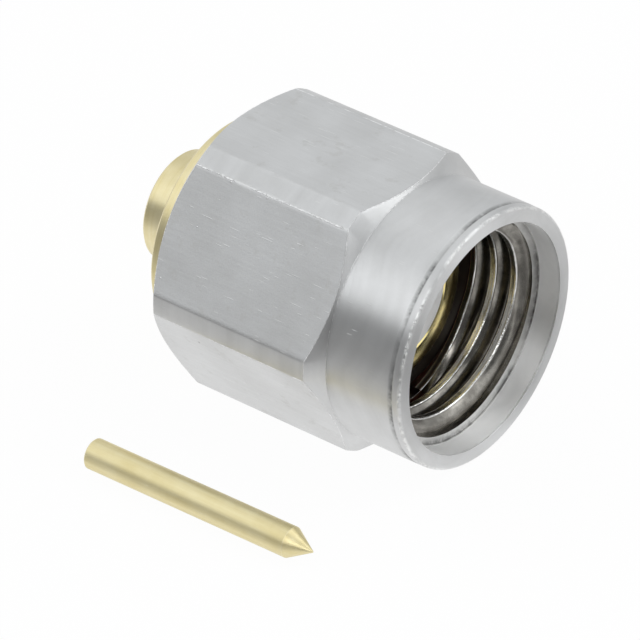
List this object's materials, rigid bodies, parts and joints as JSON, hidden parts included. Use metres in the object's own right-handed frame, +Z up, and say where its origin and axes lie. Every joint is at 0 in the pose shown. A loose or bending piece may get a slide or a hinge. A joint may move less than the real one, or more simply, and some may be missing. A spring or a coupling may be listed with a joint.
{
  "type": "sma connector",
  "caption": "Straight coaxial plug with a captive hexagon coupling nut, a solder ferrule for semi-rigid cable and a loose centre contact.",
  "frame": {"origin": "centre of the reference plane, the flat front face of the outer contact, on the connector's axis", "axes": "+X along the axis to the mating end, +Z up with the nut lying on one of its flats"},
  "size_m": [0.0108, 0.012, 0.008],
  "materials": {
    "nut_steel": "fine turned and milled satin, passivated",
    "ring_bronze": "bare spring bronze",
    "gold_plate": "satin gold plating over turned brass",
    "white_insulator": "machined fluoropolymer, waxy matte",
    "seal_rubber": "moulded silicone, matte",
    "pin_gold": "satin gold plating with drawn lengthwise sheen"
  },
  "bodies": {
    "connector": {"connector_body": "gold_plate", "insulator": "white_insulator", "gasket": "seal_rubber", "contact_pin": "pin_gold"},
    "ring": {"retaining_ring": "ring_bronze"},
    "nut": {"coupling_nut": "nut_steel"}
  },
  "joints": [
    {"name": "nut_float", "type": "slide", "parent": "connector", "child": "ring", "axis": [1, 0, 0], "range_m": [-0.00008, 0.00012]},
    {"name": "nut_spin", "type": "hinge", "parent": "ring", "child": "nut", "pos_m": [0, 0, 0], "axis": [1, 0, 0], "continuous": true}
  ]
}
